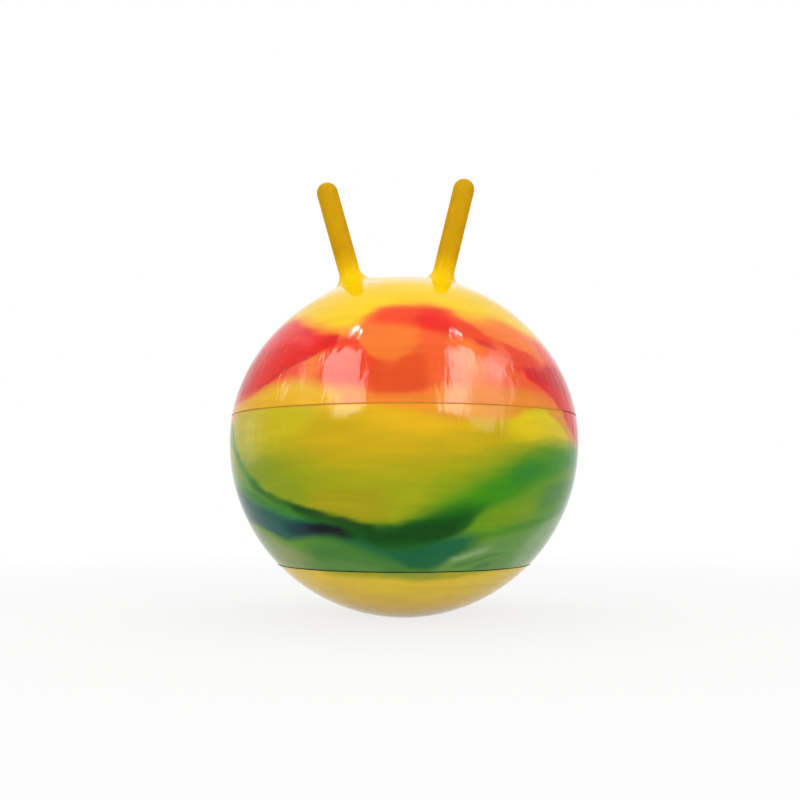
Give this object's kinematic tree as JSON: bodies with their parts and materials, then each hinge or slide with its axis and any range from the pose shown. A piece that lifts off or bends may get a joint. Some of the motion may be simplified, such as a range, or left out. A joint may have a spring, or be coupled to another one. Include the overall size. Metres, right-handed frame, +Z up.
{
  "type": "hopper ball",
  "caption": "Inflated ball to sit and bounce on, held by upright horns on its crown, with moulded seams and a push-in air valve plug.",
  "frame": {"origin": "middle of the flat patch that the ball rests on, level with the floor", "axes": "+Z up, X along the line of the two horns with the left horn on -X as seen from the front, front at -Y, air valve at the back on +Y"},
  "size_m": [0.4498, 0.4502, 0.574],
  "materials": {
    "crown": "glossy soft PVC, yellow marbled with red and orange",
    "band": "glossy soft PVC, marbled mustard, green and dark teal",
    "base": "glossy soft PVC, cream yellow with fine moulding lines",
    "seam": "glossy soft PVC, thin moulding bead",
    "horn": "satin soft PVC, golden yellow",
    "valve": "soft PVC, yellow",
    "plug": "off-white polythene"
  },
  "bodies": {
    "ball": {"top_cap": "crown", "middle_band": "band", "bottom_cap": "base", "upper_seam": "seam", "lower_seam": "seam", "left_collar": "horn", "right_collar": "horn", "valve_seat": "valve"},
    "left_horn": {"left_horn": "horn"},
    "right_horn": {"right_horn": "horn"},
    "valve_plug": {"valve_plug": "plug"}
  },
  "joints": [
    {"name": "left_horn_flex", "type": "hinge", "parent": "ball", "child": "left_horn", "pos_m": [-0.07088, 0, 0.44507], "axis": [0, 1, 0], "range_deg": [-20, 20], "stiffness_Nm_per_rad": 3},
    {"name": "right_horn_flex", "type": "hinge", "parent": "ball", "child": "right_horn", "pos_m": [0.05224, 0, 0.44923], "axis": [0, 1, 0], "range_deg": [-20, 20], "stiffness_Nm_per_rad": 3},
    {"name": "valve_plug_pull", "type": "slide", "parent": "ball", "child": "valve_plug", "axis": [0, 1, 0], "range_m": [0, 0.035]}
  ]
}
